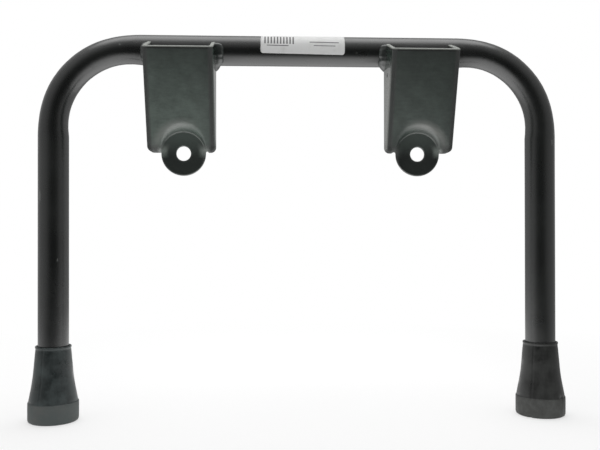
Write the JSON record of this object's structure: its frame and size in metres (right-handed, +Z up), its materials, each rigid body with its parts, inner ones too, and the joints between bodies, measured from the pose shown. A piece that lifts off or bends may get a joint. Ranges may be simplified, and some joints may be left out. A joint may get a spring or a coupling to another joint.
{
  "type": "motorcycle centre stand",
  "caption": "Bent steel tube in an upside-down U, with pressed channel brackets welded to its top bar, round bolt lugs, rubber feet and a blank sticker.",
  "frame": {"origin": "on the ground, under the middle of the stand's bounding box", "axes": "+Z up, X along the top bar with +X to the viewer's right in the picture, -Y towards the front where the brackets stand out"},
  "size_m": [0.4004, 0.0568, 0.2841],
  "materials": {
    "frame_paint": "satin black paint",
    "bracket_paint": "satin black paint",
    "weld_paint": "satin black paint over weld",
    "foot_rubber": "matte moulded rubber",
    "label_paper": "matte white sticker"
  },
  "bodies": {
    "root": {"tube_frame": "frame_paint", "left_bracket": "bracket_paint", "right_bracket": "bracket_paint", "left_outer_weld": "weld_paint", "left_inner_weld": "weld_paint", "right_inner_weld": "weld_paint", "right_outer_weld": "weld_paint", "left_foot": "foot_rubber", "right_foot": "foot_rubber", "label": "label_paper"}
  },
  "joints": []
}
